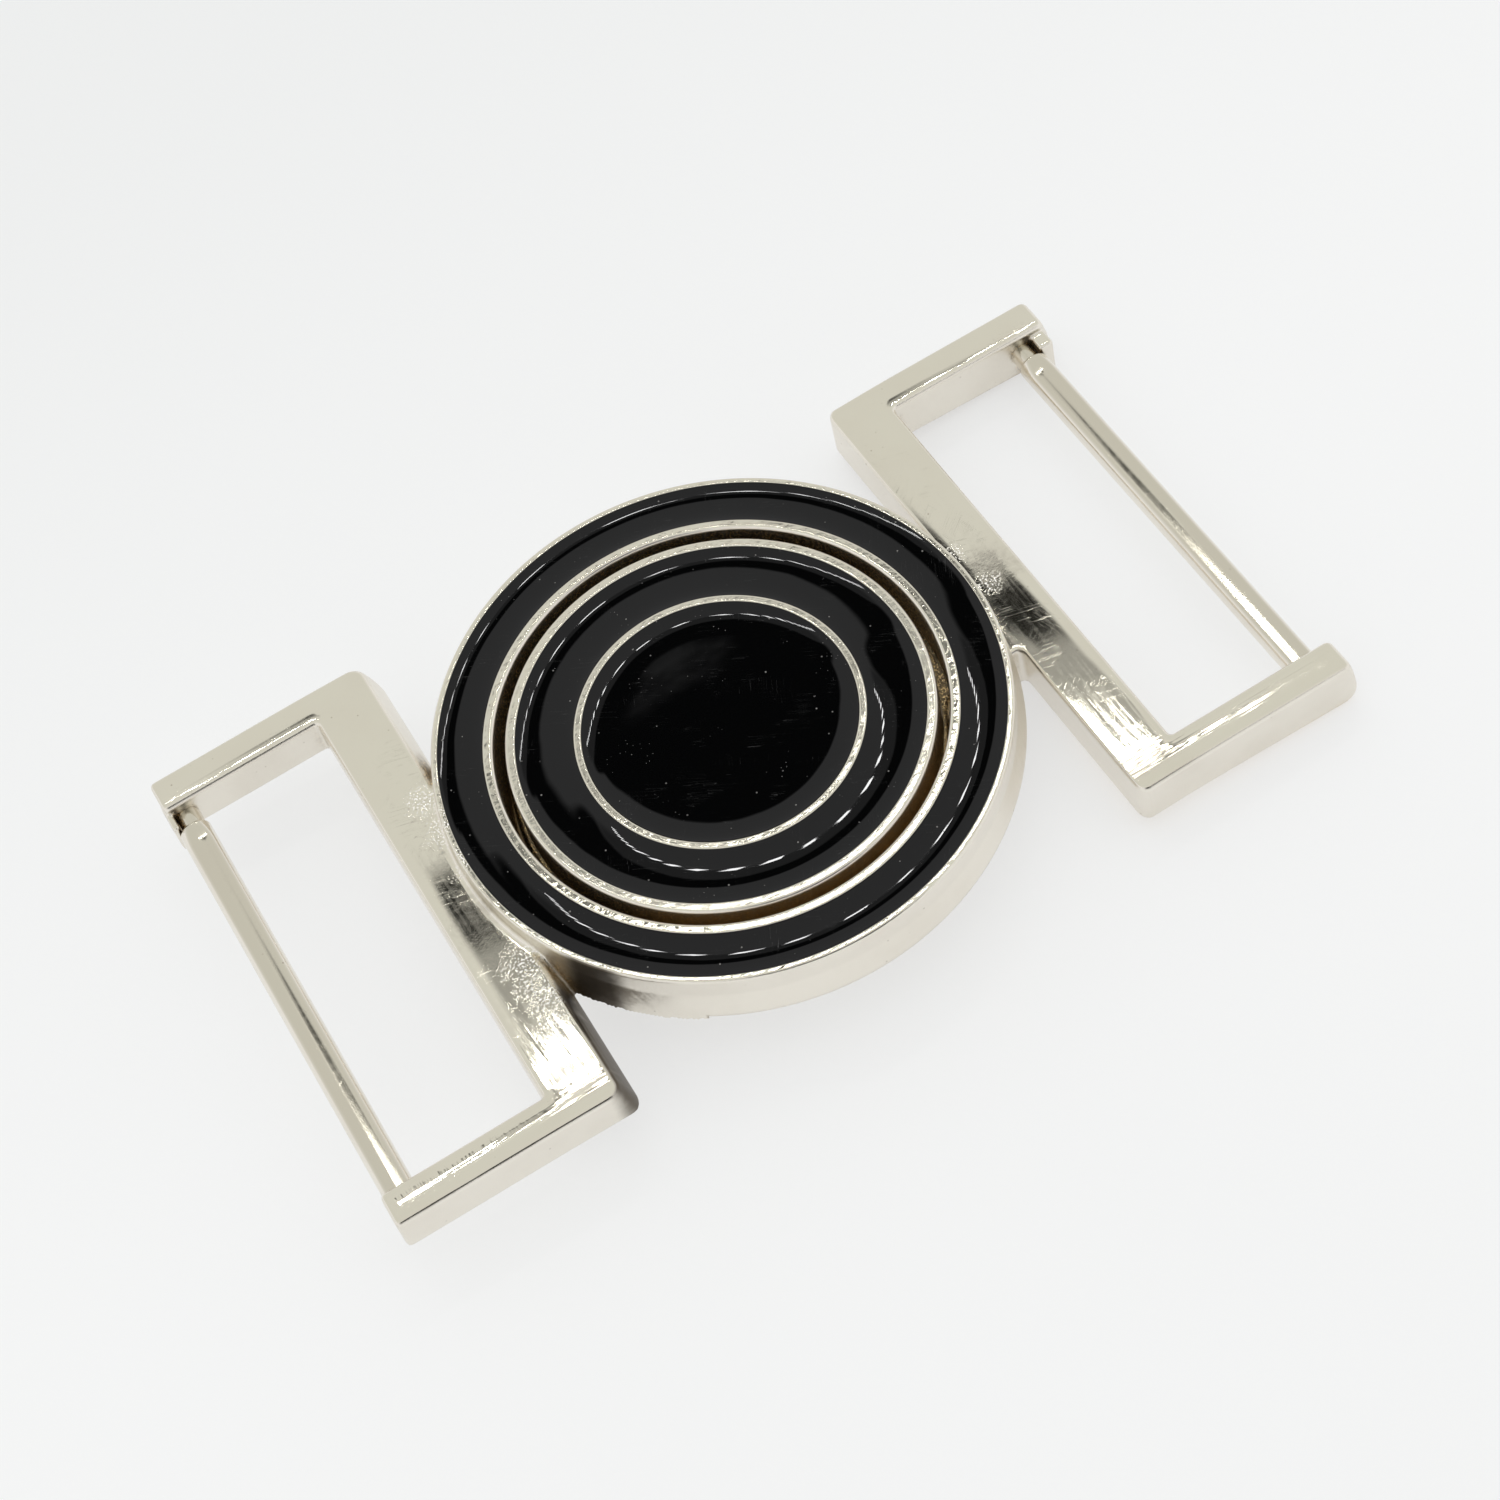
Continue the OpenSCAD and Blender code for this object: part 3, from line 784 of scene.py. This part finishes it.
def make_ring_half():
    """The turned ring and its frame joined into one casting, with the tongue's notch cut from it."""
    outline, normals = filleted([
        (BORE_R, SKIRT_BACK, 0.2), (SKIRT_R, SKIRT_BACK, 0.2), (SKIRT_R, FLARE_BACK, 0.2),
        (RING_R + FLARE, FLARE_BACK, 0.8), (RING_R, FLARE_TOP, 1.5),
        (RING_R, RING_TOP, 0.28), (GROOVE_OUT, RING_TOP, 0.2), (GROOVE_OUT, ENAMEL_FLOOR, 0.1),
        (GROOVE_IN, ENAMEL_FLOOR, 0.1), (GROOVE_IN, RING_TOP, 0.3), (BORE_R, RING_TOP, 0.35)])
    points, faces, _ = revolve(outline, normals)
    base = scratch_object("ring", points, faces, 0)
    low = (JOIN_U - NET_ROOM, -FRAME_Y - NET_ROOM, RING_BACK - 0.8)
    high = (LEFT.end + NET_ROOM, FRAME_Y + NET_ROOM, LEFT.top + 1.6)
    points, faces = surface_net(left_frame_cut, low, high, NET_STEP)
    strap = scratch_object("strap", points, faces, 1)
    x0, x1, y, z0, z1 = -RING_R - 3, -BORE_R + 3, NOTCH_W / 2, RING_BACK - 2, NOTCH_TOP
    block = np.array([(x, s * y, z) for x in (x0, x1) for s in (-1, 1) for z in (z0, z1)], float)
    notch = scratch_object("notch", block, [(0, 1, 3, 2), (4, 6, 7, 5), (0, 4, 5, 1), (2, 3, 7, 6),
                                            (0, 2, 6, 4), (1, 5, 7, 3)], 2)
    mesh = combined(base, [(strap, "UNION"), (notch, "DIFFERENCE")])

    place = np.empty(len(mesh.vertices) * 3)
    mesh.vertices.foreach_get("co", place)
    place = place.reshape(-1, 3)
    corner = np.empty(len(mesh.loops), int)
    mesh.loops.foreach_get("vertex_index", corner)
    sizes = np.array([p.loop_total for p in mesh.polygons])
    source = np.repeat([p.material_index for p in mesh.polygons], sizes)
    flat = np.repeat([tuple(p.normal) for p in mesh.polygons], sizes, axis=0)
    turned = outline_normals(place, outline, normals)[corner]
    free = unit(gradient(left_frame_field, place))[corner]
    chosen = np.where((source == 0)[:, None], turned, np.where((source == 1)[:, None], free, flat))
    agree = (chosen * flat).sum(axis=1) > 0.3
    chosen = np.where(agree[:, None], chosen, flat)

    mesh.vertices.foreach_set("co", (to_model(place) * MM).ravel())
    mesh.shade_smooth()
    mesh.flip_normals()
    fresh = np.empty(len(mesh.loops), int)
    mesh.loops.foreach_get("vertex_index", fresh)
    starts = [p.loop_start for p in mesh.polygons]
    order = np.concatenate([start + -np.arange(size) % size for start, size in zip(starts, sizes)])
    if not (corner[order] == fresh).all():
        raise RuntimeError("the corners of a flipped face are not where expected")
    mesh.normals_split_custom_set(to_model(chosen)[order].tolist())
    return link("ring_half_casting", mesh, "ring_side", ["ring_half"], ring_plate)


def make_net(name, field, low, high, step, body, node, material, mirrored):
    """A piece from a distance field."""
    points, faces = surface_net(field, low, high, step)
    normals = gradient(field, points)
    if mirrored:
        points, normals = to_model(points), to_model(normals)
    return make_piece(name, points, faces, normals, body, [node], material, mirrored)


def make_crossbar(name, bar_u, bar_z, body, node, mirrored):
    """A crossbar with its tenons."""
    reach = CROSSBAR_R + 0.4
    low = (bar_u - reach, -TENON_END - 0.4, bar_z - reach)
    high = (bar_u + reach, TENON_END + 0.4, bar_z + reach)
    return make_net(name, crossbar_field(bar_u, bar_z), low, high, FINE_STEP, body, node, bar_plate,
                    mirrored)


def open_outline(corners):
    """A filleted outline that starts and ends at the axis, without the closing stretch."""
    points, normals = filleted(corners)
    return points[4:-4], normals[4:-4]


def make_disc():
    """The round disc, with its two channels."""
    outline, normals = open_outline([
        (AXIS, DISC_FLOOR, 0), (DISC_R, DISC_FLOOR, 0.3), (DISC_R, RING_TOP, 0.32),
        (BAND_OUT, RING_TOP, 0.3), (BAND_OUT, ENAMEL_FLOOR, 0.1), (SMALL_RING_R, ENAMEL_FLOOR, 0.1),
        (SMALL_RING_R, RING_TOP, 0.3),
        (CENTRE_R, RING_TOP, 0.3), (CENTRE_R, ENAMEL_FLOOR, 0.1), (AXIS, ENAMEL_FLOOR, 0)])
    points, faces, directions = revolve(outline, normals, open_ends=True)
    make_piece("centre_disc_casting", points, faces, directions, "turning_disc", ["centre_disc"],
               disc_plate)


def make_rivet():
    """The rivet, head down."""
    outline, normals = open_outline([
        (AXIS, 0.12, 0), (RIVET_R, 0, 0.35), (RIVET_R, RIVET_H, 0.1), (RIVET_SHANK, RIVET_H, 0.1),
        (RIVET_SHANK, DISC_FLOOR + 0.4, 0.1), (AXIS, DISC_FLOOR + 0.4, 0)])
    points, faces, directions = revolve(outline, normals, open_ends=True)
    make_piece("rivet_turned", points, faces, directions, "turning_disc", ["disc_rivet"],
               disc_plate)


def make_fill(name, r_in, r_out, body, node, mirrored=False):
    """Enamel in a channel, or in a round field when r_in is 0; its surface climbs the walls."""
    outer = r_out + OVERLAP
    inner = r_in - OVERLAP if r_in else AXIS
    far = (outer - inner) / 2 if r_in else outer - inner
    near = far * np.linspace(0, 1, 16) ** 2
    r = outer - near
    if r_in:
        r = np.concatenate((r, inner + near[::-1][1:]))
    climb = np.exp((r - r_out) / MENISCUS_REACH)
    slope = climb / MENISCUS_REACH
    if not r_in:
        climb = climb + DISH / MENISCUS_RISE * (r / r_out) ** 2
        slope = slope + DISH / MENISCUS_RISE * 2 * r / r_out ** 2
    if r_in:
        other = np.exp((r_in - r) / MENISCUS_REACH)
        climb, slope = climb + other, slope - other / MENISCUS_REACH
    z = RING_TOP - ENAMEL_LOW + MENISCUS_RISE * climb
    tops = np.stack((r, z), axis=1)
    top_normals = np.stack((-MENISCUS_RISE * slope, np.ones(len(r))), axis=1)
    base = ENAMEL_FLOOR - 0.01
    below = [(inner, base), (outer, base), (outer, base), (outer, z[0] - 0.02)]
    below_normals = [(0, -1), (0, -1), (1, 0), (1, 0)]
    if r_in:
        below = [(inner, z[-1] - 0.02), (inner, base)] + below
        below_normals = [(-1, 0), (-1, 0)] + below_normals
    outline = np.concatenate((below, tops))
    normals = np.concatenate((below_normals, top_normals))
    points, faces, directions = revolve(outline, normals, open_ends=not r_in)
    if mirrored:
        points, directions = to_model(points), to_model(directions)
    make_piece(name, points, faces, directions, body, [node], black, mirrored)


make_ring_half()
make_net("disc_half_casting", disc_half_field, (-FLANGE_R - NET_ROOM, -FRAME_Y - NET_ROOM, -NET_ROOM),
         (RIGHT_END + NET_ROOM, FRAME_Y + NET_ROOM, HALF_TOP + NET_ROOM), NET_STEP,
         "disc_side", "disc_half", half_plate, False)
make_crossbar("left_crossbar_bar", LEFT_BAR_U, LEFT_BAR_Z, "ring_side", "left_crossbar", True)
make_crossbar("right_crossbar_bar", RIGHT_BAR_U, RIGHT_BAR_Z, "disc_side", "right_crossbar", False)
make_disc()
make_rivet()
make_fill("ring_enamel_fill", GROOVE_IN, GROOVE_OUT, "ring_side", "ring_enamel", True)
make_fill("band_enamel_fill", SMALL_RING_R, BAND_OUT, "turning_disc", "band_enamel")
make_fill("centre_enamel_fill", 0, CENTRE_R, "turning_disc", "centre_enamel")


# ---------------------------------------------------------------- camera
CAMERA_TARGET = Vector((0.46, -3.92, RING_TOP)) * MM
CAMERA_AZIMUTH, CAMERA_ELEVATION, CAMERA_ROLL = (math.radians(a) for a in (17.4, 57.62, -16.74))
CAMERA_DISTANCE = 268.04 * MM
CAMERA_LENS = 82.36


def make_camera():
    """The camera, which looks down across the belt."""
    data = bpy.data.cameras.new("camera")
    data.lens, data.sensor_width = CAMERA_LENS, 36
    data.clip_start, data.clip_end = 0.01, 20
    camera = bpy.data.objects.new("camera", data)
    bpy.context.scene.collection.objects.link(camera)
    along = math.cos(CAMERA_ELEVATION)
    look = Vector((math.sin(CAMERA_AZIMUTH) * along, math.cos(CAMERA_AZIMUTH) * along,
                   -math.sin(CAMERA_ELEVATION)))
    camera.rotation_mode = "QUATERNION"
    turned = look.to_track_quat("-Z", "Y").to_matrix() @ Matrix.Rotation(CAMERA_ROLL, 3, "Z")
    camera.rotation_quaternion = turned.to_quaternion()
    camera.location = CAMERA_TARGET - look * CAMERA_DISTANCE
    bpy.context.scene.camera = camera


# ---------------------------------------------------------------- stage and light
WORLD_LIGHT = 0.95                           # the white tent round the object
LAMP_LIGHT = 45                              # radiance of one lamp
LAMP_HALF = (3.4, 5.0)                       # half the size of one lamp in X and Y
LAMP_PITCH = 16.7                            # between lamps of a row
LAMP_ROWS = (301,)                           # Y of each row
LAMP_SPAN = (-90, 300)                       # X of each row's ends
FLOOR_TONE = (0.335, 0.343, 0.34)
FAR_SHADE_TONE = (0.25, 0.26, 0.255)               # of the floor behind the object: painted shade, darker than the front
FLOOR_GLOW = 0.60                            # light through the floor, which softens the shadows
ROOF = 610                                   # height of the lamps and of the tent's opening
OPENING = (114, 366, 76, 30)                 # dark round opening in the roof: its middle and half sizes
SLIT = (114, 358, 172, 18)                   # dark slit on both sides of it
GREY_CLOTH = (130, 322, 190, 26)             # greyer cloth between the opening and the lamps
PANEL = (-190, 150, 150, 520)                # dark panel behind the camera, its edges in X and Z
PANEL_Y = -290
FLOOR_HALF = 900
FLOOR_Z = -0.02                              # just under the object


def sheets(name, quads, material):
    """Flat four-cornered pieces of the stage."""
    mesh = bpy.data.meshes.new(name)
    mesh.from_pydata([Vector(c) * MM for quad in quads for c in quad], [],
                     [tuple(range(4 * i, 4 * i + 4)) for i in range(len(quads))])
    mesh.materials.append(material)
    thing = bpy.data.objects.new(name, mesh)
    bpy.context.scene.collection.objects.link(thing)
    return thing


def level(x0, x1, y0, y1, z):
    """A level rectangle facing down."""
    return [(x0, y0, z), (x0, y1, z), (x1, y1, z), (x1, y0, z)]


def glowing(name, strength):
    """An even light source."""
    m = Material(name)
    glow = m.add("ShaderNodeEmission")
    glow.inputs["Strength"].default_value = strength
    m.plug(m.tree.nodes["Material Output"].inputs["Surface"], glow.outputs[0])
    return m.data


def patch(name, x, y, half_x, half_y, glow, corner, height):
    """A patch of one brightness that fades out at its edges: an oval, or with a high corner a rectangle."""
    m = Material(name)
    here_x, here_y, _ = m.parts()
    across = m.math("ABSOLUTE", m.math("DIVIDE", m.math("SUBTRACT", here_x, x), half_x))
    along = m.math("ABSOLUTE", m.math("DIVIDE", m.math("SUBTRACT", here_y, y), half_y))
    reach = m.total(m.math("POWER", across, corner), m.math("POWER", along, corner))
    fade = m.step(m.math("POWER", reach, 1 / corner), 0.65, 1.05, 1.0, 0.0)
    mixed = m.add("ShaderNodeMixShader")
    even = m.add("ShaderNodeEmission")
    even.inputs["Strength"].default_value = glow
    m.plug(mixed.inputs[0], fade)
    m.plug(mixed.inputs[1], m.add("ShaderNodeBsdfTransparent").outputs[0])
    m.plug(mixed.inputs[2], even.outputs[0])
    m.plug(m.tree.nodes["Material Output"].inputs["Surface"], mixed.outputs[0])
    quad = level(x - half_x * 1.1, x + half_x * 1.1, y - half_y * 1.1, y + half_y * 1.1,
                 ROOF + height)
    return sheets(name, [quad], m.data)


def make_stage():
    """The floor, and what the plating and the enamel reflect."""
    f = FLOOR_HALF
    paper = matte("stage_floor", FLOOR_TONE, FAR_SHADE_TONE, grain=0.01)
    lit = paper.node_tree.nodes["Principled BSDF"]
    lit.inputs["Emission Color"].default_value = (1, 1, 1, 1)
    lit.inputs["Emission Strength"].default_value = FLOOR_GLOW
    sheets("floor", [level(-f, f, f, -f, FLOOR_Z)], paper)
    x0, x1, z0, z1 = PANEL
    y = PANEL_Y
    sheets("dark_panel", [[(x0, y, z0), (x1, y, z0), (x1, y, z1), (x0, y, z1)]],
           matte("stage_dark", (0.02, 0.02, 0.02)))
    patch("roof_opening", *OPENING, glow=0.02, corner=2, height=0)
    patch("roof_slit", *SLIT, glow=0.02, corner=4, height=1)
    patch("roof_cloth", *GREY_CLOTH, glow=0.48, corner=8, height=2)
    places = [(x, y) for y in LAMP_ROWS for x in np.arange(*LAMP_SPAN, LAMP_PITCH)]
    a, b = LAMP_HALF
    sheets("lamps", [level(x - a, x + a, y - b, y + b, ROOF) for x, y in places],
           glowing("stage_lamp", LAMP_LIGHT))


def make_world():
    """Even white light from all sides."""
    world = bpy.data.worlds.new("world")
    bpy.context.scene.world = world
    world.use_nodes = True
    background = world.node_tree.nodes["Background"]
    background.inputs["Color"].default_value = (1, 1, 1, 1)
    background.inputs["Strength"].default_value = WORLD_LIGHT


make_camera()
make_stage()
make_world()
bpy.context.scene.view_settings.view_transform = "Standard"
